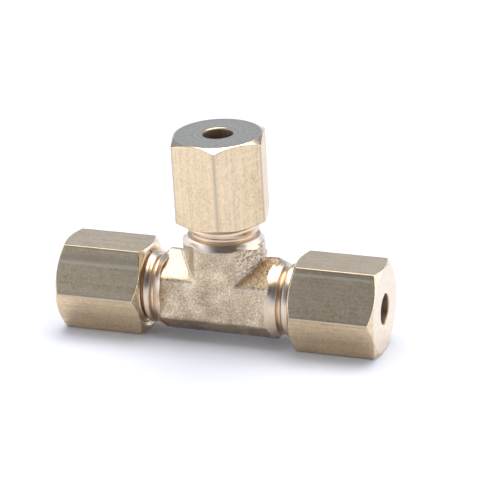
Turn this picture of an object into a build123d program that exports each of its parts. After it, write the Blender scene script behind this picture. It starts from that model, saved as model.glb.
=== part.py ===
from build123d import *
import math
import os

# Brass union tee for 1/8 in tube. A forged body has three threaded ports, and each port
# has a hexagon nut that presses a sleeve onto the tube.
# The run ports point along -X and +X, and the branch port points along +Z.
# Z = 0 is the plane that the lower flats of the two run nuts rest on.
# Each port is drawn along its own +Z, starting where the three axes cross, and then turned.

INCH = 25.4

# Tube and thread: 1/8 in tube, 5/16-24 UNF right-hand thread
TUBE_HOLE_RADIUS = 1.63
PITCH = INCH / 24
FLANK_SLOPE = math.tan(math.radians(30))
BODY_CREST_RADIUS = 3.92
BODY_PITCH_RADIUS = 3.585
BODY_ROOT_RADIUS = 3.25
NUT_CREST_RADIUS = 3.42
NUT_PITCH_RADIUS = 3.685
NUT_ROOT_RADIUS = 4.03
CUTTER_OVERLAP = 0.07
GROOVE_TURNS = 7
THREAD_START_TURN = 90

# Forged body: flat front and back faces, sloping sides and a trimmed ridge on the parting plane
FORGING_HALF_DEPTH = 3.57
FLAT_HALF_HEIGHT = 2.2
RIDGE_HALF_HEIGHT = 4.55
RIDGE_HALF_WIDTH = 0.35

# Turned neck and thread of a port. Places along a port are distances from the axes' crossing.
NECK_START = 6.0
FORGING_END = 6.3
NECK_END = 6.82
RELIEF_START = 6.95
RELIEF_END = 7.2
THREAD_START = 7.3
PORT_END = 13.5
NECK_START_RADIUS = 4.3
FORGING_END_RADIUS = 4.0
FORGING_CHAMFER = 1.5
NECK_END_RADIUS = 3.9
RELIEF_RADIUS = 3.4
PORT_END_CHAMFER = 0.6

# Inside of a port
FLOW_RADIUS = 1.2
SOCKET_STOP = 8.6
SEAT_START = 10.14
SEAT_SLOPE = math.tan(math.radians(15))

# Hexagon nut, 3/8 in across flats
NUT_ACROSS_FLATS = 3 / 8 * INCH
NUT_LENGTH = 9.5
NUT_FACE_RADIUS = 4.62
NUT_CHAMFER_SLOPE = math.tan(math.radians(30))
NUT_MOUTH_RADIUS = 4.35
NUT_WALL = 2.0
NUT_BORE_DEPTH = 6.3
TUBE_HOLE_CHAMFER = 0.09
RUN_NUT_START = 8.3
BRANCH_NUT_START = 8.6
BRANCH_NUT_TURN = 13

# Sleeve
SLEEVE_LENGTH = 3 / 16 * INCH
SLEEVE_RADIUS = 3 / 32 * INCH
SLEEVE_TAIL = 15.6
SLEEVE_TAIL_RADIUS = 1.76
SEAT_CLEARANCE = 0.06
LEAD_IN_LENGTH = 0.5
LEAD_IN_DEPTH = 0.06

RUN_AXIS_HEIGHT = NUT_ACROSS_FLATS / 2


def turned(points):
    """A solid of revolution about Z from its half section, given as (radius, height) points."""
    outline = Polyline(*[(r, 0, z) for r, z in points], close=True)
    return revolve(make_face(outline), Axis.Z)


def thread_cutter(inner, outer, inner_half, outer_half, start):
    """A helical groove cutter between two radii, with its half widths at those radii."""
    path = Helix(PITCH, GROOVE_TURNS * PITCH, inner).moved(Location((0, 0, start)))
    section = Polyline(
        (inner, 0, start - inner_half),
        (outer, 0, start - outer_half),
        (outer, 0, start + outer_half),
        (inner, 0, start + inner_half),
        close=True,
    )
    return Rot(0, 0, THREAD_START_TURN) * sweep(make_face(section), path=path, is_frenet=True)


def body_thread_cutter():
    """Removes the groove of the external thread, from the relief to past the port's end."""
    outer = BODY_CREST_RADIUS + CUTTER_OVERLAP
    root_half = PITCH / 4 - (BODY_PITCH_RADIUS - BODY_ROOT_RADIUS) * FLANK_SLOPE
    outer_half = PITCH / 4 + (outer - BODY_PITCH_RADIUS) * FLANK_SLOPE
    return thread_cutter(BODY_ROOT_RADIUS, outer, root_half, outer_half, THREAD_START)


def nut_thread_cutter():
    """Removes the groove of the internal thread, half a pitch out of step with the body's."""
    inner = NUT_CREST_RADIUS - CUTTER_OVERLAP
    inner_half = PITCH / 4 + (NUT_PITCH_RADIUS - inner) * FLANK_SLOPE
    root_half = PITCH / 4 - (NUT_ROOT_RADIUS - NUT_PITCH_RADIUS) * FLANK_SLOPE
    return thread_cutter(inner, NUT_ROOT_RADIUS, inner_half, root_half, THREAD_START - PITCH / 2)


def forged_leg():
    """The forged stretch of a port, with its end chamfered down to the turned neck."""
    half_section = [
        (FLAT_HALF_HEIGHT, FORGING_HALF_DEPTH),
        (RIDGE_HALF_HEIGHT, RIDGE_HALF_WIDTH),
        (RIDGE_HALF_HEIGHT, -RIDGE_HALF_WIDTH),
        (FLAT_HALF_HEIGHT, -FORGING_HALF_DEPTH),
    ]
    section = half_section + [(-x, -y) for x, y in half_section]
    prism = extrude(make_face(Polyline(*section, close=True)), FORGING_END)
    envelope = turned([
        (0, 0),
        (FORGING_END_RADIUS + FORGING_CHAMFER, 0),
        (FORGING_END_RADIUS + FORGING_CHAMFER, FORGING_END - FORGING_CHAMFER),
        (FORGING_END_RADIUS, FORGING_END),
        (0, FORGING_END),
    ])
    return prism & envelope


def threaded_leg():
    """The turned stretch of a port: tapered neck, relief groove and external thread."""
    rod = Pos(0, 0, NECK_START) * extrude(Circle(BODY_CREST_RADIUS), PORT_END - NECK_START)
    relief_depth = NECK_START_RADIUS - RELIEF_RADIUS
    chamfer_depth = NECK_START_RADIUS - BODY_CREST_RADIUS + PORT_END_CHAMFER
    envelope = turned([
        (0, NECK_END),
        (NECK_END_RADIUS, NECK_END),
        (RELIEF_RADIUS, RELIEF_START),
        (RELIEF_RADIUS, RELIEF_END),
        (NECK_START_RADIUS, RELIEF_END + relief_depth * FLANK_SLOPE),
        (NECK_START_RADIUS, PORT_END - chamfer_depth),
        (NECK_START_RADIUS - chamfer_depth, PORT_END),
        (0, PORT_END),
    ])
    neck = turned([
        (0, NECK_START),
        (NECK_START_RADIUS, NECK_START),
        (NECK_END_RADIUS, NECK_END),
        (0, NECK_END),
    ])
    return ((rod - body_thread_cutter()) & envelope) + neck


def port_passage():
    """The inside of a port: flow passage, tube socket and the tapered seat for the sleeve."""
    mouth_radius = TUBE_HOLE_RADIUS + (PORT_END - SEAT_START) * SEAT_SLOPE
    return turned([
        (0, 0),
        (FLOW_RADIUS, 0),
        (FLOW_RADIUS, SOCKET_STOP),
        (TUBE_HOLE_RADIUS, SOCKET_STOP),
        (TUBE_HOLE_RADIUS, SEAT_START),
        (mouth_radius, PORT_END),
        (0, PORT_END),
    ])


def nut_blank(start, hexagon_turn):
    """A hexagon bar end, chamfered at both faces. Unturned, two of its flats face -X and +X."""
    end = start + NUT_LENGTH
    hexagon = RegularPolygon(NUT_ACROSS_FLATS / 2, 6, major_radius=False, rotation=30 + hexagon_turn)
    prism = Pos(0, 0, start) * extrude(hexagon, NUT_LENGTH)
    rim_radius = NUT_ACROSS_FLATS
    depth = (rim_radius - NUT_FACE_RADIUS) * NUT_CHAMFER_SLOPE
    chamfers = turned([
        (0, start),
        (NUT_FACE_RADIUS, start),
        (rim_radius, start + depth),
        (rim_radius, end - depth),
        (NUT_FACE_RADIUS, end),
        (0, end),
    ])
    return prism & chamfers


def nut(start, hexagon_turn):
    """A nut: threaded from its inner face, with a cone for the sleeve and a hole for the tube."""
    end = start + NUT_LENGTH
    bore_end = start + NUT_BORE_DEPTH
    cone_end = end - NUT_WALL
    hollow = turned([
        (0, start),
        (NUT_MOUTH_RADIUS, start),
        (NUT_CREST_RADIUS, start + NUT_MOUTH_RADIUS - NUT_CREST_RADIUS),
        (NUT_CREST_RADIUS, bore_end),
        (TUBE_HOLE_RADIUS + cone_end - bore_end, bore_end),
        (TUBE_HOLE_RADIUS, cone_end),
        (TUBE_HOLE_RADIUS, end - TUBE_HOLE_CHAMFER),
        (TUBE_HOLE_RADIUS + TUBE_HOLE_CHAMFER, end),
        (0, end),
    ])
    return nut_blank(start, hexagon_turn) - nut_thread_cutter() - hollow


def sleeve():
    """A sleeve, tapered in front to the body's seat and behind to the nut's cone.

    The tail of its bore widens a little, to lead the tube in.
    """
    nose = SLEEVE_TAIL - SLEEVE_LENGTH
    nose_radius = TUBE_HOLE_RADIUS + (nose - SEAT_START) * SEAT_SLOPE - SEAT_CLEARANCE
    taper_end = nose + (SLEEVE_RADIUS - nose_radius) / SEAT_SLOPE
    return turned([
        (TUBE_HOLE_RADIUS, nose),
        (nose_radius, nose),
        (SLEEVE_RADIUS, taper_end),
        (SLEEVE_RADIUS, SLEEVE_TAIL - (SLEEVE_RADIUS - SLEEVE_TAIL_RADIUS)),
        (SLEEVE_TAIL_RADIUS, SLEEVE_TAIL),
        (TUBE_HOLE_RADIUS + LEAD_IN_DEPTH, SLEEVE_TAIL),
        (TUBE_HOLE_RADIUS, SLEEVE_TAIL - LEAD_IN_LENGTH),
    ])


# Each port's name, its turn about Y, where its nut starts, and the turn of the nut's hexagon
PORTS = [
    ("left", -90, RUN_NUT_START, 0),
    ("right", 90, RUN_NUT_START, 0),
    ("branch", 0, BRANCH_NUT_START, BRANCH_NUT_TURN),
]


def placed(shape, turn):
    """Turns a port's piece about Y and lifts it to the height of the run's axis."""
    return Pos(0, 0, RUN_AXIS_HEIGHT) * Rot(0, turn, 0) * shape


def tee_body():
    """The forged body with its three turned and threaded ports and the passages inside."""
    turns = [turn for name, turn, start, hexagon_turn in PORTS]
    legs = [placed(forged_leg() + threaded_leg(), turn) for turn in turns]
    body = legs[0] + legs[1] + legs[2]
    for turn in turns:
        body -= placed(port_passage(), turn)
    return body


os.makedirs("parts", exist_ok=True)
export_step(tee_body(), "parts/tee_body.step")
for name, turn, start, hexagon_turn in PORTS:
    export_step(placed(nut(start, hexagon_turn), turn), f"parts/{name}_nut.step")
    export_step(placed(sleeve(), turn), f"parts/{name}_sleeve.step")
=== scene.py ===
import math

import bpy
import numpy as np
from mathutils import Matrix, Vector, noise


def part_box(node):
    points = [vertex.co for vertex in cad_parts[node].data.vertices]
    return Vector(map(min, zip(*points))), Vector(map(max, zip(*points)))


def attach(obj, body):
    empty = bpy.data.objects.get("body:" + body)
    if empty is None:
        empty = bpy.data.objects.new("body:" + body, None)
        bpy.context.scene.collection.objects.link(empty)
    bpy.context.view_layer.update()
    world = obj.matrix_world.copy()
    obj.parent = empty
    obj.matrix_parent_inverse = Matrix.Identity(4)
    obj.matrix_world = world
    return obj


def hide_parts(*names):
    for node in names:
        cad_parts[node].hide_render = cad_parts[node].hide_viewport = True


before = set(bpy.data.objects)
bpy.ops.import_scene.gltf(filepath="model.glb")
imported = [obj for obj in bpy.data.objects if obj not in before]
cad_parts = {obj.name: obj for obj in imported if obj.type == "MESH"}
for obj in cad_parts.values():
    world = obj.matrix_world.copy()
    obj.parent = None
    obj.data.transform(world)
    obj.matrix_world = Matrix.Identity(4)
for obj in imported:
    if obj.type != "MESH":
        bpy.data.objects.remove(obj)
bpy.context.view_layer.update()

# The looks of a brass union tee. Lengths are in millimetres along the frame's axes, and become
# metres in meshes, matrices, the camera and materials.
MM = 0.001

# Places read from the frame
run_nut_low, run_nut_high = (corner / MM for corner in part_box("right_nut"))
branch_nut_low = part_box("branch_nut")[0] / MM
body_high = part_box("tee_body")[1] / MM
AXIS_HEIGHT = (run_nut_low.z + run_nut_high.z) / 2
ACROSS_FLATS = run_nut_high.z - run_nut_low.z
NUT_LENGTH = run_nut_high.x - run_nut_low.x
PORT_END = body_high.x

# Each port's name, its turn about Y in degrees, where its nut starts, the turn of the nut's
# hexagon, and the nut's draw marks: a flat is darker from the first angle about the port to the
# second, where a seam runs along it as a shallow groove with a painted highlight, and the third
# value is the strength of both
PORTS = [
    ("left", -90, run_nut_low.x, 0, (323, 311, 1)),
    ("right", 90, run_nut_low.x, 0, (211, 217, 0.7)),
    ("branch", 0, branch_nut_low.z - AXIS_HEIGHT, 13, (303, 300.6, 0.35)),
]

# The camera stands this way from the crossing of the axes, in degrees, and is then moved
# sideways in its own plane, to aim beside the crossing
CAMERA_AZIMUTH, CAMERA_ELEVATION, CAMERA_ROLL = 18.295, 20.077, -0.901
CAMERA_DISTANCE, CAMERA_AIM_RIGHT, CAMERA_AIM_UP = 290.8, 2.672, 4.577
CAMERA_LENS = 194.82

# Thread. The middle of its groove passes THREAD_START at THREAD_START_ANGLE about the port.
PITCH = 25.4 / 24
FLANK_SLOPE = math.tan(math.radians(30))
THREAD_START = 7.85
THREAD_START_ANGLE = math.radians(90)
BODY_CREST, BODY_PITCH_RADIUS, BODY_ROOT = 3.92, 3.585, 3.25
NUT_CREST, NUT_PITCH_RADIUS, NUT_ROOT = 3.42, 3.685, 4.03

# Forging, and how widely its edges and its two crotches are rounded
HALF_DEPTH = 3.57
FLAT_HALF_HEIGHT = 2.2
RIDGE_HALF_HEIGHT = 4.55
RIDGE_HALF_WIDTH = 0.35
FORGING_END, FORGING_END_RADIUS = 6.25, 4.35
FACET_ROUNDING, RIDGE_ROUNDING, END_CONE_ROUNDING, END_ROUNDING = 0.3, 0.12, 0.1, 0.05
LEFT_CREASE, RIGHT_CREASE = 0.25, 0.1
# How much narrower the forging's passages are than the ports'
PASSAGE_GAP = 0.05

# Skin of the forging: how fine its three noises are, how deep they go all over it, and how high
# they and the lap are where the metal is folded in the right crotch
WAVE_SCALE, DIMPLE_SCALE, GRAIN_SCALE = 0.45, 2.1, 4.3
WAVE_DEPTH, DIMPLE_DEPTH, GRAIN_DEPTH = 0.03, 0.012, 0.02
FOLD_DIMPLE, FOLD_GRAIN, LAP_HEIGHT, VALLEY_DEPTH = 0.12, 0.14, 0.16, 0.08

# Port. The necks start a little differently, and so do the threads: FIRST_SHARE is the share of
# its full depth that a groove has at first, and it deepens from THREAD_FADE to THREAD_FULL.
NECK_START = {"left": 6.05, "right": 5.75, "branch": 6.05}
NECK_START_RADIUS = {"left": 4.3, "right": 4.25, "branch": 4.38}
NECK_END, NECK_END_RADIUS = 6.82, 3.9
RELIEF_START, RELIEF_END, RELIEF_RADIUS = 6.95, 7.2, 3.4
FIRST_SHARE = {"left": 0.25, "right": 0.05, "branch": 0.25}
THREAD_FADE, THREAD_FULL = RELIEF_END + 0.6, 9.3
THREAD_ROUNDING = 0.08
PORT_CHAMFER = 0.6
FLOW_RADIUS, TUBE_RADIUS = 1.2, 1.63
SOCKET_STOP, SEAT_START = 8.6, 10.14
SEAT_SLOPE = math.tan(math.radians(15))

# Nut
FACE_RADIUS, CHAMFER_SLOPE = 4.62, math.tan(math.radians(30))
MOUTH_RADIUS, NUT_WALL, NUT_BORE_DEPTH = 4.35, 2.0, 6.3
HOLE_CHAMFER = 0.12
CORNER_RADIUS = ACROSS_FLATS / 2 / math.cos(math.pi / 6)
# The chamfers' cones are drawn out to this radius, outside the corners
RIM_RADIUS = 5.7
CORNER_WEAR, CORNER_ROUNDING, CHAMFER_ROUNDING = 0.03, 0.04, 0.05
# The share by which a nut's points are closer together at its corners than round it on average
CORNER_CROWDING = 0.7
# The seam's half width is in degrees about the port
SEAM_HALF_WIDTH, SEAM_DEPTH = 2.2, 0.03

# The branch nut leans on its loose thread, in degrees, about a point this far above the crossing
LEAN_LEFT, LEAN_FRONT, LEAN_PIVOT = 1.6, 2.6, 7

# Turned pieces: the most of an edge that one rounded corner takes, how close to a face or a radius
# a point counts as on it, and the depth of the tool's ripple
CORNER_SHARE = 0.35
TOUCH = 0.02
RIPPLE_DEPTH = 0.002

# Studio: the turn of the side softboxes, the tilt of the overhead one towards the back in
# degrees, and the brightness of each part
SIDE_TURN = math.radians(18)
OVERHEAD_TILT = 12
FRONT_LEFT, FRONT_RIGHT = (0.255, 0.31, 0.395), (0.085, 0.092, 0.105)
REAR, HORIZON = (0.345, 0.42, 0.545), (0.88, 1.02, 1.32)
SIDE_BOX, OVERHEAD_BOX = (1.5, 1.68, 2.0), (3.6, 3.5, 3.42)

# How far each piece's pattern is moved from the last one's, so that no two are the same
PATTERN_SHIFT = (13.7, 5.1, 8.3)


# ---------------------------------------------------------------- camera and stage
def add_camera():
    """The scene's camera."""
    azimuth, elevation = math.radians(CAMERA_AZIMUTH), math.radians(CAMERA_ELEVATION)
    roll = math.radians(CAMERA_ROLL)
    outward = math.cos(elevation)
    back = Vector((math.sin(azimuth) * outward, -math.cos(azimuth) * outward, math.sin(elevation)))
    level = Vector((math.cos(azimuth), math.sin(azimuth), 0))
    upright = back.cross(level)
    right = level * math.cos(roll) + upright * math.sin(roll)
    up = upright * math.cos(roll) - level * math.sin(roll)
    place = Vector((0, 0, AXIS_HEIGHT)) + right * CAMERA_AIM_RIGHT + up * CAMERA_AIM_UP
    place += back * CAMERA_DISTANCE
    data = bpy.data.cameras.new("camera")
    data.lens = CAMERA_LENS
    data.clip_start = 0.01
    data.clip_end = 10
    camera = bpy.data.objects.new("camera", data)
    bpy.context.scene.collection.objects.link(camera)
    matrix = Matrix((right, up, back)).transposed().to_4x4()
    matrix.translation = place * MM
    camera.matrix_world = matrix
    bpy.context.scene.camera = camera


# ---------------------------------------------------------------- shape helpers
def smooth_max(a, b, width):
    """The larger of two fields, rounded where they cross."""
    share = np.clip(0.5 + 0.5 * (a - b) / width, 0, 1)
    return b + (a - b) * share + width * share * (1 - share)


def smooth_min(a, b, width):
    """The smaller of two fields, rounded where they cross."""
    return -smooth_max(-a, -b, width)


def smooth_step(low, high, value):
    """A smooth rise from 0 at low to 1 at high; high may be the smaller of the two."""
    t = np.clip((value - low) / (high - low), 0, 1)
    return t * t * (3 - 2 * t)


def add_marks(mesh, marks):
    """Stores named point values, which the materials read."""
    for mark, values in marks.items():
        attribute = mesh.attributes.new(mark, "FLOAT", "POINT")
        attribute.data.foreach_set("value", np.asarray(values, np.float32).ravel())


def mesh_object(name, points, quads, marks, material):
    """An object from points in millimetres, quads of point numbers and named point values."""
    mesh = bpy.data.meshes.new(name)
    mesh.vertices.add(len(points))
    mesh.vertices.foreach_set("co", (points * MM).astype(np.float32).ravel())
    mesh.loops.add(quads.size)
    mesh.loops.foreach_set("vertex_index", quads.astype(np.int32).ravel())
    mesh.polygons.add(len(quads))
    mesh.polygons.foreach_set("loop_start", np.arange(0, quads.size, 4, dtype=np.int32))
    mesh.update(calc_edges=True)
    mesh.polygons.foreach_set("use_smooth", np.ones(len(quads), bool))
    add_marks(mesh, marks)
    mesh.materials.append(material)
    piece = bpy.data.objects.new(name, mesh)
    bpy.context.scene.collection.objects.link(piece)
    return piece


def loose_matrix(away_left, away_front, pivot):
    """A nut's lean on its loose thread, in degrees to the left and to the front, about a pivot."""
    to_front = Matrix.Rotation(math.radians(away_front), 4, "X")
    to_left = Matrix.Rotation(-math.radians(away_left), 4, "Y")
    return Matrix.Translation(pivot * MM) @ (to_front @ to_left) @ Matrix.Translation(-pivot * MM)


def port_matrix(turn):
    """From a port's own frame, drawn along +Z, to the frame of the part."""
    return Matrix.Translation((0, 0, AXIS_HEIGHT * MM)) @ Matrix.Rotation(math.radians(turn), 4, "Y")


# ---------------------------------------------------------------- turned pieces
def rounded_outline(corners, cut, spacing):
    """Points along a closed outline of (radius, distance) corners, with each corner rounded."""
    corners = [np.array(corner, float) for corner in corners]
    outline = []
    for i, corner in enumerate(corners):
        before, after = corners[i - 1], corners[(i + 1) % len(corners)]
        to_before, to_after = before - corner, after - corner
        share_before = min(CORNER_SHARE, cut / np.linalg.norm(to_before))
        share_after = min(CORNER_SHARE, cut / np.linalg.norm(to_after))
        first, last = corner + to_before * share_before, corner + to_after * share_after
        for t in (0, 0.33, 0.67, 1):
            outline.append((1 - t) ** 2 * first + 2 * t * (1 - t) * corner + t ** 2 * last)
        edge = after - to_after * share_after - last
        steps = max(1, round(np.linalg.norm(edge) / spacing))
        for step in range(1, steps):
            outline.append(last + edge * step / steps)
    return np.array(outline)


def ring_quads(stations, around):
    """Quads between stations, each a ring of points, with the last station joined to the first."""
    station, place = np.meshgrid(np.arange(stations), np.arange(around), indexing="ij")
    ring, next_ring = station * around, (station + 1) % stations * around
    next_place = (place + 1) % around
    corners = [ring + place, ring + next_place, next_ring + next_place, next_ring + place]
    return np.stack(corners, -1).reshape(-1, 4)


def thread_radius(angle, along, crest, pitch_radius, root):
    """The radius of a thread's surface, clipped at its crest and its root."""
    turn = (along - THREAD_START) / PITCH - (angle - THREAD_START_ANGLE) / (2 * math.pi)
    from_groove = PITCH * np.abs(turn - np.round(turn))
    low, high = min(crest, root), max(crest, root)
    return np.clip(pitch_radius + (from_groove - PITCH / 4) / FLANK_SLOPE, low, high)


def faded_thread(angle, along, first_share):
    """The external thread, whose groove starts shallow beside the relief, at a share of its depth."""
    thread = thread_radius(angle, along, BODY_CREST, BODY_PITCH_RADIUS, BODY_ROOT)
    share = first_share + (1 - first_share) * smooth_step(THREAD_FADE, THREAD_FULL, along)
    return BODY_CREST - (BODY_CREST - thread) * share


def lathe_object(name, radius, along, angle, marks, material, turn):
    """A piece from the radius and distance at each station and angle, turned to its port."""
    points = np.stack([radius * np.cos(angle), radius * np.sin(angle), along + 0 * angle], -1)
    stations, around = radius.shape
    piece = mesh_object(name, points.reshape(-1, 3), ring_quads(stations, around), marks, material)
    piece.matrix_world = port_matrix(turn)
    return piece


def turning_ripple(along):
    """The fine rings that a lathe tool leaves on a turned surface."""
    return RIPPLE_DEPTH * np.sin(along * 41) + RIPPLE_DEPTH * np.sin(along * 67 + 1)


def ragged_edge(angle, phase):
    """How far the neck's edge against the forging strays along the port."""
    return 0.09 * np.sin(9 * angle + 2) + 0.12 * np.sin(5 * angle + phase)


def port(name, turn, material, around=216):
    """The turned neck, relief groove, thread and inside of one port."""
    neck_start = NECK_START[name]
    flank = (BODY_CREST - RELIEF_RADIUS) * FLANK_SLOPE
    mouth_radius = TUBE_RADIUS + (PORT_END - SEAT_START) * SEAT_SLOPE
    outline = rounded_outline([
        (FLOW_RADIUS, neck_start),
        (NECK_START_RADIUS[name], neck_start),
        (NECK_END_RADIUS, NECK_END),
        (RELIEF_RADIUS, RELIEF_START),
        (RELIEF_RADIUS, RELIEF_END),
        (BODY_CREST, RELIEF_END + flank),
        (BODY_CREST, PORT_END - PORT_CHAMFER),
        (BODY_CREST - PORT_CHAMFER, PORT_END),
        (mouth_radius, PORT_END),
        (TUBE_RADIUS, SEAT_START),
        (TUBE_RADIUS, SOCKET_STOP),
        (FLOW_RADIUS, SOCKET_STOP),
    ], cut=0.05, spacing=0.05)
    angle = np.linspace(0, 2 * math.pi, around, endpoint=False)[None, :]
    base, along = outline[:, 0:1], outline[:, 1:2]
    outside = (base > FLOW_RADIUS + 2) & (along > neck_start + TOUCH)
    radius = base + np.where(outside, turning_ripple(along), 0) + 0 * angle
    near_forging = smooth_step(NECK_END - 0.1, neck_start, along)
    along = along + ragged_edge(angle, neck_start) * near_forging * (base > FLOW_RADIUS + 1)
    in_thread = (along > RELIEF_END) & (base > RELIEF_RADIUS - 0.2)
    thread = faded_thread(angle, along, FIRST_SHARE[name])
    radius = np.where(in_thread, smooth_min(radius, thread, THREAD_ROUNDING), radius)
    return lathe_object(f"{name}_port", radius, along, angle, {}, material, turn)


def nut(name, turn, start, hexagon_turn, draw_marks_and_seam_highlight, material, around=240):
    """A hexagon nut: chamfered bar outside, thread, cone and tube hole inside."""
    end = start + NUT_LENGTH
    bore_end, cone_end = start + NUT_BORE_DEPTH, end - NUT_WALL
    depth = (RIM_RADIUS - FACE_RADIUS) * CHAMFER_SLOPE
    outline = rounded_outline([
        (MOUTH_RADIUS, start),
        (FACE_RADIUS, start),
        (RIM_RADIUS, start + depth),
        (RIM_RADIUS, end - depth),
        (FACE_RADIUS, end),
        (TUBE_RADIUS + HOLE_CHAMFER, end),
        (TUBE_RADIUS, end - HOLE_CHAMFER),
        (TUBE_RADIUS, cone_end),
        (NUT_CREST, bore_end),
        (NUT_CREST, start + MOUTH_RADIUS - NUT_CREST),
    ], cut=0.04, spacing=0.09)
    first_flat = math.radians(hexagon_turn)
    even = np.linspace(0, 2 * math.pi, around, endpoint=False)[None, :]
    angle = np.mod(even + CORNER_CROWDING / 6 * np.sin(6 * (even - first_flat)), 2 * math.pi)
    base, along = outline[:, 0:1], outline[:, 1:2]
    from_flat = np.mod(angle - first_flat, math.pi / 3)
    hexagon = ACROSS_FLATS / 2 / np.cos(np.minimum(from_flat, math.pi / 3 - from_flat))
    hexagon = smooth_min(hexagon, CORNER_RADIUS - CORNER_WEAR + 0 * hexagon, CORNER_ROUNDING)
    outside = base >= FACE_RADIUS - 0.1
    round_radius = base + 0 * angle
    radius = np.where(outside, smooth_min(round_radius, hexagon, CHAMFER_ROUNDING), round_radius)
    on_flats = np.where(outside, smooth_step(-0.02, 0.12, base - hexagon), 0)
    thread = thread_radius(angle, along, NUT_CREST, NUT_PITCH_RADIUS, NUT_ROOT)
    threaded = (base < MOUTH_RADIUS + TOUCH / 2) & (base > NUT_CREST - TOUCH) & (along < bore_end)
    radius = np.where(threaded, np.maximum(radius, thread), radius)
    on_outer_end = np.abs(along - end) < TOUCH
    on_inner_end = (np.abs(along - start) < TOUCH) & (base > MOUTH_RADIUS - TOUCH)
    in_hole = (base < TUBE_RADIUS + HOLE_CHAMFER / 2) & (along > cone_end)
    band_start, seam_angle, strength = draw_marks_and_seam_highlight
    from_seam = np.degrees(angle) - seam_angle
    seam_with_painted_highlight = strength * on_flats * smooth_step(SEAM_HALF_WIDTH, 0, np.abs(from_seam))
    across_band = from_seam / (band_start - seam_angle)
    band = smooth_step(0, 0.15, across_band) * smooth_step(1, 0.7, across_band)
    radius = radius - SEAM_DEPTH * seam_with_painted_highlight
    marks = {
        "turned": 1 - on_flats,
        # The seam is a shallow groove, and the material paints a highlight along it
        "seam_with_painted_highlight": seam_with_painted_highlight,
        "band": strength * on_flats * band,
        # Painted shade along the corners, which dims the highlight of their rounding
        "corner": on_flats * smooth_step(CORNER_RADIUS - 0.16, CORNER_RADIUS - 0.04, radius),
        # End faces get turned rings and a paler, greyer colour, painted to stand in for the bright
        # bluish light they reflect
        "end_face": (on_outer_end | on_inner_end) + 0 * angle,
        # Painted shade inside the tube hole
        "hole": in_hole + 0 * angle,
    }
    return lathe_object(name, radius, along, angle, marks, material, turn)


# ---------------------------------------------------------------- forged body
def surface_net(field, low, step):
    """Points and quads on the zero level of a sampled field that is negative inside.

    Each cell that the level crosses gets one point, the middle of the crossings on its edges, and
    each sample edge that it crosses gets one quad, between the points of the four cells round it.
    """
    inside = field < 0
    count = np.zeros(tuple(n - 1 for n in field.shape), np.uint8)
    shifts = [(i, j, k) for i in (0, 1) for j in (0, 1) for k in (0, 1)]
    for i, j, k in shifts:
        count += inside[i:i + count.shape[0], j:j + count.shape[1], k:k + count.shape[2]]
    mixed = (count > 0) & (count < 8)
    number = np.full(mixed.shape, -1, np.int32)
    cells = np.argwhere(mixed)
    number[mixed] = np.arange(len(cells))
    total, crossings = np.zeros((len(cells), 3)), np.zeros((len(cells), 1))
    for a in shifts:
        for axis in range(3):
            if a[axis] == 0:
                b = tuple(v + (n == axis) for n, v in enumerate(a))
                at_a = field[tuple((cells + a).T)].astype(float)
                at_b = field[tuple((cells + b).T)].astype(float)
                crossed = (at_a < 0) != (at_b < 0)
                share = np.where(crossed, at_a / np.where(crossed, at_a - at_b, 1), 0)
                point = np.array(a) + share[:, None] * (np.array(b) - np.array(a))
                total += np.where(crossed[:, None], point, 0)
                crossings += crossed[:, None]
    points = low + step * (cells + total / crossings)
    quads = []
    for axis in range(3):
        u, v = (axis + 1) % 3, (axis + 2) % 3
        first = np.take(inside, range(inside.shape[axis] - 1), axis)
        second = np.take(inside, range(1, inside.shape[axis]), axis)
        edges = np.argwhere(first != second)
        flip = ~first[tuple(edges.T)]
        ring = []
        for du, dv in ((-1, -1), (0, -1), (0, 0), (-1, 0)):
            cell = edges.copy()
            cell[:, u] += du
            cell[:, v] += dv
            ring.append(number[tuple(cell.T)])
        ring = np.stack(ring, 1)
        ring[flip] = ring[flip][:, ::-1]
        quads.append(ring)
    return points, np.concatenate(quads)


def leg_section(up, depth):
    """How far a point lies outside the forging's eight-sided section."""
    facet = Vector((HALF_DEPTH - RIDGE_HALF_WIDTH, RIDGE_HALF_HEIGHT - FLAT_HALF_HEIGHT))
    facet.normalize()
    facet_distance = facet.x * FLAT_HALF_HEIGHT + facet.y * HALF_DEPTH
    flats = np.abs(depth) - HALF_DEPTH
    facets = np.abs(up) * facet.x + np.abs(depth) * facet.y - facet_distance
    ridges = np.abs(up) - RIDGE_HALF_HEIGHT
    return smooth_max(smooth_max(flats, facets, FACET_ROUNDING), ridges, RIDGE_ROUNDING)


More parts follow.
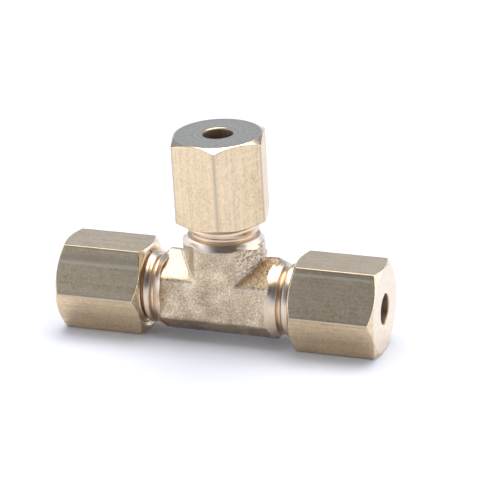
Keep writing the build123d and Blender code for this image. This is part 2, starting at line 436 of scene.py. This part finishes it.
def forging(name, material, step=0.075):
    """The forged skin of the body, with its pebbled texture, and the flow passages inside it.

    It is sampled on a grid that reaches a little past the skin.
    """
    low = np.array([-FORGING_END - 0.3, -HALF_DEPTH - 0.4, -RIDGE_HALF_HEIGHT - 0.3])
    high = np.array([FORGING_END + 0.3, HALF_DEPTH + 0.4, FORGING_END + 0.3])
    x, y, z = (np.arange(low[i], high[i], step, dtype=np.float32) for i in range(3))
    x, y, z = x[:, None, None], y[None, :, None], z[None, None, :]
    run_radius, branch_radius = np.hypot(y, z) + 0 * x, np.hypot(x, y) + 0 * z
    run_end = (run_radius - FORGING_END_RADIUS + np.abs(x) - FORGING_END) / math.sqrt(2)
    branch_end = (branch_radius - FORGING_END_RADIUS + z - FORGING_END) / math.sqrt(2)
    run = smooth_max(leg_section(z, y) + 0 * x, run_end, END_CONE_ROUNDING)
    run = smooth_max(run, np.abs(x) - FORGING_END + 0 * run, END_ROUNDING)
    branch = smooth_max(leg_section(x, y) + 0 * z, branch_end, END_CONE_ROUNDING)
    branch = smooth_max(branch, z - FORGING_END + 0 * branch, END_ROUNDING)
    branch = np.maximum(branch, -z)
    crease = LEFT_CREASE + (RIGHT_CREASE - LEFT_CREASE) * smooth_step(-0.5, 0.5, x)
    field = smooth_min(run, branch, crease)
    passage_radius = FLOW_RADIUS + PASSAGE_GAP
    field = np.maximum(field, passage_radius - run_radius)
    field = np.maximum(field, np.where(z > 0, passage_radius - branch_radius, -FORGING_END))
    points, quads = surface_net(field.astype(np.float32), low, step)
    piece = mesh_object(name, points, quads, {}, material)
    pebble(piece, points)
    piece.location = (0, 0, AXIS_HEIGHT * MM)
    return piece


def skin_noise(points, scale, shift=(0, 0, 0)):
    """A smooth noise of about -1 to 1 at each point."""
    shift = Vector(shift)
    return np.array([noise.noise(Vector(p) * scale + shift) for p in points])


def pebble(piece, points):
    """Moves the forging's points along their normals and marks the places that look different.

    The whole skin has waves, dimples and grain. The right crotch has a deep valley on the run's
    side, crumpled metal on the branch's side and a lap between them. The left leg's upper front
    facet is pressed smooth and is marked for a painted highlight, and the ridges' trimmed edges
    are nearly smooth. The walls of the passages are left as they are.
    """
    mesh = piece.data
    normals = np.zeros(len(points) * 3, np.float32)
    mesh.vertex_normals.foreach_get("vector", normals)
    normals = normals.reshape(-1, 3)
    x, y, z = points.T
    outer = np.minimum(np.hypot(y, z), np.where(z > 0, np.hypot(x, y), 9)) > FLOW_RADIUS + 0.4
    right_side = smooth_step(1.6, 2.4, np.minimum(x, z)) * smooth_step(3.55, 3.2, np.abs(y))
    waves = skin_noise(points, WAVE_SCALE)
    dimples = skin_noise(points, DIMPLE_SCALE, (7, 3, 1))
    grain = skin_noise(points, GRAIN_SCALE, (1, 9, 4))
    past_mitre = x - z
    # The valley is also marked for painted shade in the material
    valley = right_side * smooth_step(-0.1, 0.1, past_mitre) * smooth_step(2.6, 0.6, past_mitre)
    crumple = right_side * smooth_step(0.1, -0.1, past_mitre) * smooth_step(-4.4, -1.2, past_mitre)
    lap = right_side * smooth_step(0.28, 0.1, np.abs(past_mitre + 0.35 + 0.5 * dimples))
    # The pressed facet is smoothed here and marked for a painted highlight in the material
    pressed_with_painted_highlight = smooth_step(-2.2, -3.6, x) * smooth_step(FLAT_HALF_HEIGHT, 2.7, z)
    pressed_with_painted_highlight *= smooth_step(-0.2, -0.5, y)
    run_edge = np.where(np.abs(z) < RIDGE_HALF_HEIGHT + 0.25, np.abs(z), 0)
    branch_edge = np.where(z > 2.5, np.abs(x), 0)
    from_edge = np.abs(RIDGE_HALF_HEIGHT - np.maximum(run_edge, branch_edge))
    trim = smooth_step(0.12, 0.04, from_edge) * smooth_step(0.6, 0.4, np.abs(y))
    skin = (1 - pressed_with_painted_highlight) * (DIMPLE_DEPTH * dimples + GRAIN_DEPTH * grain)
    folds = LAP_HEIGHT * lap + crumple * (FOLD_DIMPLE * dimples + FOLD_GRAIN * grain)
    folds -= VALLEY_DEPTH * valley * smooth_step(0.9, 0.1, past_mitre)
    shift = WAVE_DEPTH * waves + (1 - 0.8 * trim) * (skin + folds)
    moved = points + normals * (shift * outer)[:, None]
    mesh.vertices.foreach_set("co", (moved * MM).astype(np.float32).ravel())
    marks = {"trim": trim, "valley": valley, "pressed_with_painted_highlight": pressed_with_painted_highlight, "crumple": crumple}
    add_marks(mesh, {mark: values * outer for mark, values in marks.items()})
    mesh.update()


# ---------------------------------------------------------------- materials
class Nodes:
    """Short ways to add and join shader nodes of one material."""

    def __init__(self, name):
        self.material = bpy.data.materials.new(name)
        self.material.use_nodes = True
        self.tree = self.material.node_tree
        self.tree.nodes.clear()
        output = self.add("ShaderNodeOutputMaterial")
        self.shader = self.add("ShaderNodeBsdfPrincipled")
        self.tree.links.new(self.shader.outputs["BSDF"], output.inputs["Surface"])

    def add(self, kind, values=None, **settings):
        """A new node, with the values of its inputs and its own settings."""
        node = self.tree.nodes.new(kind)
        for key, value in settings.items():
            setattr(node, key, value)
        for key, value in (values or {}).items():
            node.inputs[key].default_value = value
        return node

    def math(self, operation, *values):
        """One step of arithmetic on numbers or node outputs."""
        node = self.add("ShaderNodeMath", operation=operation)
        for i, value in enumerate(values):
            if isinstance(value, (int, float)):
                node.inputs[i].default_value = value
            else:
                self.tree.links.new(value, node.inputs[i])
        return node.outputs[0]

    def weighted(self, *parts):
        """The sum of (value, weight) parts."""
        total = self.math("MULTIPLY", *parts[0])
        for value, weight in parts[1:]:
            total = self.math("ADD", total, self.math("MULTIPLY", value, weight))
        return total

    def place(self, scale):
        """The piece's own coordinates in millimetres, scaled along each axis and moved per piece."""
        where = self.add("ShaderNodeTexCoord")
        index = self.add("ShaderNodeObjectInfo")
        shift = self.add("ShaderNodeVectorMath", operation="SCALE")
        shift.inputs[0].default_value = PATTERN_SHIFT
        self.tree.links.new(index.outputs["Object Index"], shift.inputs["Scale"])
        mapping = self.add("ShaderNodeMapping")
        mapping.inputs["Scale"].default_value = [v / MM for v in scale]
        self.tree.links.new(where.outputs["Object"], mapping.inputs["Vector"])
        both = self.add("ShaderNodeVectorMath", operation="ADD")
        self.tree.links.new(mapping.outputs[0], both.inputs[0])
        self.tree.links.new(shift.outputs[0], both.inputs[1])
        return both.outputs[0]

    def rings(self, scale):
        """Coordinates that change only with radius and distance along the port, as turning marks do."""
        where = self.add("ShaderNodeTexCoord")
        parts = self.add("ShaderNodeSeparateXYZ")
        self.tree.links.new(where.outputs["Object"], parts.inputs[0])
        x, y, z = parts.outputs
        radius = self.math("SQRT", self.weighted((x, x), (y, y)))
        joined = self.add("ShaderNodeCombineXYZ")
        self.tree.links.new(self.math("MULTIPLY", radius, scale / MM), joined.inputs[0])
        self.tree.links.new(self.math("MULTIPLY", z, scale / MM), joined.inputs[1])
        return joined.outputs[0]

    def noise(self, vector, detail, roughness):
        settings = {"Scale": 1.0, "Detail": detail, "Roughness": roughness}
        node = self.add("ShaderNodeTexNoise", settings)
        self.tree.links.new(vector, node.inputs["Vector"])
        return node.outputs["Fac"]

    def spread(self, value, low, high, to_low, to_high):
        """A value mapped from one range to another, and kept inside it."""
        node = self.add("ShaderNodeMapRange")
        for i, v in enumerate((low, high, to_low, to_high)):
            node.inputs[i + 1].default_value = v
        self.tree.links.new(value, node.inputs[0])
        return node.outputs[0]

    def ramp(self, value, stops):
        """The colour at a value, between stops of (value, colour)."""
        node = self.add("ShaderNodeValToRGB")
        while len(node.color_ramp.elements) < len(stops):
            node.color_ramp.elements.new(0.5)
        for element, (place, colour) in zip(node.color_ramp.elements, stops):
            element.position = place
            element.color = (*colour, 1)
        self.tree.links.new(value, node.inputs[0])
        return node.outputs[0]

    def mix(self, share, a, b):
        """Colour a, or colour b where the share is 1."""
        node = self.add("ShaderNodeMix", data_type="RGBA")
        self.tree.links.new(share, node.inputs[0])
        for socket, value in ((6, a), (7, b)):
            if isinstance(value, tuple):
                node.inputs[socket].default_value = (*value, 1)
            else:
                self.tree.links.new(value, node.inputs[socket])
        return node.outputs[2]

    def mark(self, name):
        """A named point value of the mesh."""
        return self.add("ShaderNodeAttribute", attribute_name=name).outputs["Fac"]

    def bump(self, height, distance):
        node = self.add("ShaderNodeBump", {"Distance": distance * MM, "Strength": 1.0})
        self.tree.links.new(height, node.inputs["Height"])
        return node.outputs[0]

    def finish(self, colour, roughness, normal):
        """The finished material, as bare metal."""
        self.shader.inputs["Metallic"].default_value = 1.0
        self.tree.links.new(colour, self.shader.inputs["Base Color"])
        self.tree.links.new(roughness, self.shader.inputs["Roughness"])
        self.tree.links.new(normal, self.shader.inputs["Normal"])
        return self.material


def bar_brass():
    """Satin drawn bar on a nut's flats, and turned brass on its faces, chamfers and bore."""
    n = Nodes("machined_brass")
    turned = n.mark("turned")
    grain = n.noise(n.place((6, 6, 5)), 2, 0.6)
    streaks = n.noise(n.place((3.5, 3.5, 0.05)), 2, 0.5)
    mottle = n.noise(n.place((2.2, 2.2, 2)), 4, 0.75)
    blotches = n.noise(n.place((0.45, 0.45, 0.35)), 3, 0.55)
    rings = n.noise(n.rings(9), 2, 0.6)
    tone = n.weighted((grain, 0.35), (streaks, 0.2), (mottle, 0.3), (blotches, 0.15))
    colour = n.ramp(tone, [
        (0.37, (0.56, 0.42, 0.25)),
        (0.5, (0.755, 0.59, 0.39)),
        (0.63, (0.88, 0.69, 0.465)),
    ])
    colour = n.mix(n.math("MULTIPLY", n.mark("band"), 0.45), colour, (0.46, 0.37, 0.26))
    # Painted highlight along the seam's groove, standing in for the brighter light that its slope
    # reflects
    colour = n.mix(n.mark("seam_with_painted_highlight"), colour, (1.0, 0.86, 0.65))
    # End faces: turned rings, with a paler, greyer colour painted to stand in for the bright bluish
    # light they reflect
    faced_tone = n.weighted((rings, 0.5), (mottle, 0.5))
    faced = n.ramp(faced_tone, [(0.4, (0.75, 0.62, 0.46)), (0.6, (0.95, 0.80, 0.61))])
    colour = n.mix(n.mark("end_face"), colour, faced)
    # Painted shade inside the tube hole
    colour = n.mix(n.mark("hole"), colour, (0.45, 0.34, 0.23))
    # Painted shade along the hexagon's corners, dimming the highlight that their rounding catches
    colour = n.mix(n.math("MULTIPLY", n.mark("corner"), 0.8), colour, (0.54, 0.44, 0.31))
    flat_rough = n.spread(n.math("ADD", grain, mottle), 0.7, 1.3, 0.32, 0.38)
    turned_rough = n.spread(rings, 0.3, 0.7, 0.16, 0.28)
    turned_rough = n.math("MAXIMUM", turned_rough, n.math("MULTIPLY", n.mark("hole"), 0.5))
    rougher = n.math("SUBTRACT", turned_rough, flat_rough)
    roughness = n.math("ADD", n.math("MULTIPLY", turned, rougher), flat_rough)
    on_flats = n.math("SUBTRACT", 1.0, turned)
    flat_height = n.math("ADD", grain, n.math("MULTIPLY", mottle, 0.6))
    height = n.weighted((flat_height, on_flats), (rings, turned))
    return n.finish(colour, roughness, n.bump(height, 0.005))


def turned_brass():
    """Bright turned brass, with fine tool rings."""
    n = Nodes("turned_brass")
    rings = n.noise(n.rings(8), 3, 0.6)
    blotches = n.noise(n.place((0.6, 0.6, 0.6)), 2, 0.5)
    colour = n.ramp(blotches, [(0.3, (0.72, 0.565, 0.41)), (0.7, (0.82, 0.67, 0.51))])
    roughness = n.spread(rings, 0.3, 0.7, 0.25, 0.38)
    return n.finish(colour, roughness, n.bump(rings, 0.004))


def forged_brass():
    """The sparkling pebbled skin of a forging.

    It is smoother and greyer on the trimmed ridges, painted a darker brown as shade in the right
    crotch's valley, paler where it is crumpled, and painted paler as a highlight where it is
    pressed.
    """
    n = Nodes("forged_brass")
    trim = n.mark("trim")
    valley = n.mark("valley")
    pressed_with_painted_highlight = n.mark("pressed_with_painted_highlight")
    specks = n.noise(n.place((5, 5, 5)), 3, 0.7)
    pits = n.noise(n.place((2.6, 2.6, 2.6)), 3, 0.65)
    blotches = n.noise(n.place((0.5, 0.5, 0.5)), 3, 0.5)
    tone = n.weighted((specks, 0.6), (blotches, 0.4))
    colour = n.ramp(tone, [
        (0.38, (0.38, 0.29, 0.19)),
        (0.5, (0.58, 0.455, 0.31)),
        (0.61, (0.86, 0.71, 0.51)),
    ])
    # Painted shade in the right crotch's valley, a darker brown for the shaded facet that reflects the
    # nut above
    colour = n.mix(n.math("MULTIPLY", valley, 0.75), colour, (0.46, 0.315, 0.19))
    colour = n.mix(n.math("MULTIPLY", n.mark("crumple"), 0.7), colour, (0.90, 0.75, 0.58))
    # Painted highlight on the pressed facet, a paler colour standing in for the strong light it catches
    colour = n.mix(n.math("MULTIPLY", pressed_with_painted_highlight, 0.4), colour, (0.84, 0.70, 0.56))
    colour = n.mix(trim, colour, (0.66, 0.57, 0.46))
    roughness = n.spread(n.math("ADD", specks, blotches), 0.7, 1.3, 0.24, 0.42)
    roughness = n.math("MULTIPLY", roughness, n.spread(pressed_with_painted_highlight, 0, 1, 1, 0.85))
    height = n.math("ADD", specks, pits)
    height = n.math("MULTIPLY", height, n.spread(n.math("ADD", trim, pressed_with_painted_highlight), 0, 1, 1, 0.4))
    return n.finish(colour, roughness, n.bump(height, 0.065))


def sleeve_brass():
    """Bright brass for the sleeves, which are shown as their CAD nodes."""
    n = Nodes("sleeve_brass")
    grain = n.noise(n.place((4, 4, 4)), 2, 0.5)
    colour = n.ramp(grain, [(0.3, (0.80, 0.64, 0.40)), (0.7, (0.90, 0.76, 0.50))])
    return n.finish(colour, n.spread(grain, 0.3, 0.7, 0.16, 0.28), n.bump(grain, 0.004))


# ---------------------------------------------------------------- light
def studio():
    """The light from all round.

    A bright softbox hangs overhead, tilted towards the back, and white boxes stand low at both
    sides. The walls are dimmer, and it is white below the horizon and just above it.
    """
    world = bpy.data.worlds.new("studio")
    bpy.context.scene.world = world
    world.use_nodes = True
    tree = world.node_tree
    tree.nodes.clear()
    out = tree.nodes.new("ShaderNodeOutputWorld")
    background = tree.nodes.new("ShaderNodeBackground")
    tree.links.new(background.outputs[0], out.inputs[0])
    where = tree.nodes.new("ShaderNodeTexCoord").outputs["Generated"]

    def towards(x, y, z):
        """The cosine of the angle between the view direction and this one."""
        node = tree.nodes.new("ShaderNodeVectorMath")
        node.operation = "DOT_PRODUCT"
        node.inputs[1].default_value = Vector((x, y, z)).normalized()
        tree.links.new(where, node.inputs[0])
        return node.outputs["Value"]

    def level(value, low, high):
        """A smooth rise from 0 at low to 1 at high."""
        node = tree.nodes.new("ShaderNodeMapRange")
        node.interpolation_type = "SMOOTHSTEP"
        for i, v in enumerate((low, high, 0, 1)):
            node.inputs[i + 1].default_value = v
        tree.links.new(value, node.inputs[0])
        return node.outputs[0]

    def product(a, b):
        node = tree.nodes.new("ShaderNodeMath")
        node.operation = "MULTIPLY"
        tree.links.new(a, node.inputs[0])
        tree.links.new(b, node.inputs[1])
        return node.outputs[0]

    def blend(share, a, b):
        """Colour a, or colour b where the share is 1, as bright as they are."""
        node = tree.nodes.new("ShaderNodeMix")
        node.data_type = "RGBA"
        node.clamp_result = False
        tree.links.new(share, node.inputs[0])
        for socket, value in ((6, a), (7, b)):
            if isinstance(value, tuple):
                node.inputs[socket].default_value = (*value, 1)
            else:
                tree.links.new(value, node.inputs[socket])
        return node.outputs[2]

    def height(degrees):
        """The upward part of a direction this many degrees above the horizon."""
        return math.sin(math.radians(degrees))

    up = towards(0, 0, 1)
    front = blend(level(towards(1, 0, 0), -0.18, -0.42), FRONT_RIGHT, FRONT_LEFT)
    light = blend(level(towards(0, 1, 0), -0.4, 0.4), front, REAR)
    light = blend(level(up, height(17), height(7)), light, HORIZON)
    side = towards(math.cos(SIDE_TURN), math.sin(SIDE_TURN), 0)
    for low, high in ((0.68, 0.8), (-0.68, -0.8)):
        box = product(level(side, low, high), level(up, height(45), height(36)))
        light = blend(box, light, SIDE_BOX)
    overhead = towards(0, height(OVERHEAD_TILT), height(90 - OVERHEAD_TILT))
    light = blend(level(overhead, height(57), height(63)), light, OVERHEAD_BOX)
    tree.links.new(light, background.inputs[0])


def floor():
    """A plain white floor, three metres square."""
    mesh = bpy.data.meshes.new("floor")
    half = 1500 * MM
    corners = [(-half, -half, 0), (half, -half, 0), (half, half, 0), (-half, half, 0)]
    mesh.from_pydata(corners, [], [(0, 1, 2, 3)])
    n = Nodes("floor_paper")
    grain = n.noise(n.place((0.2, 0.2, 0.2)), 2, 0.5)
    colour = n.ramp(grain, [(0, (0.92, 0.93, 0.98)), (1, (0.93, 0.94, 0.99))])
    n.tree.links.new(colour, n.shader.inputs["Base Color"])
    n.shader.inputs["Roughness"].default_value = 0.5
    mesh.materials.append(n.material)
    stage = bpy.data.objects.new("floor", mesh)
    bpy.context.scene.collection.objects.link(stage)


# ---------------------------------------------------------------- the model
add_camera()
bpy.context.scene.view_settings.view_transform = "Standard"
studio()
floor()

branch_nut_lean = loose_matrix(LEAN_LEFT, LEAN_FRONT, Vector((0, 0, AXIS_HEIGHT + LEAN_PIVOT)))
bar, turned, forged, bright = bar_brass(), turned_brass(), forged_brass(), sleeve_brass()

body = forging("tee_forging", forged)
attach(body, "tee_body")
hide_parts("tee_body")

# Each piece has its own pass index, which moves its pattern
for index, (name, turn, start, hexagon_turn, draw_marks_and_seam_highlight) in enumerate(PORTS):
    neck = port(name, turn, turned)
    neck.pass_index = 1 + index
    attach(neck, "tee_body")
    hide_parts("tee_body")
    cap = nut(f"{name}_compression_nut", turn, start, hexagon_turn, draw_marks_and_seam_highlight, bar)
    cap.pass_index = 1 + len(PORTS) + index
    if name == "branch":
        cap.matrix_world = branch_nut_lean @ cap.matrix_world
    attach(cap, f"{name}_nut")
    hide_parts(f"{name}_nut")
    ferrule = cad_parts[f"{name}_sleeve"]
    ferrule.data.materials.clear()
    ferrule.data.materials.append(bright)
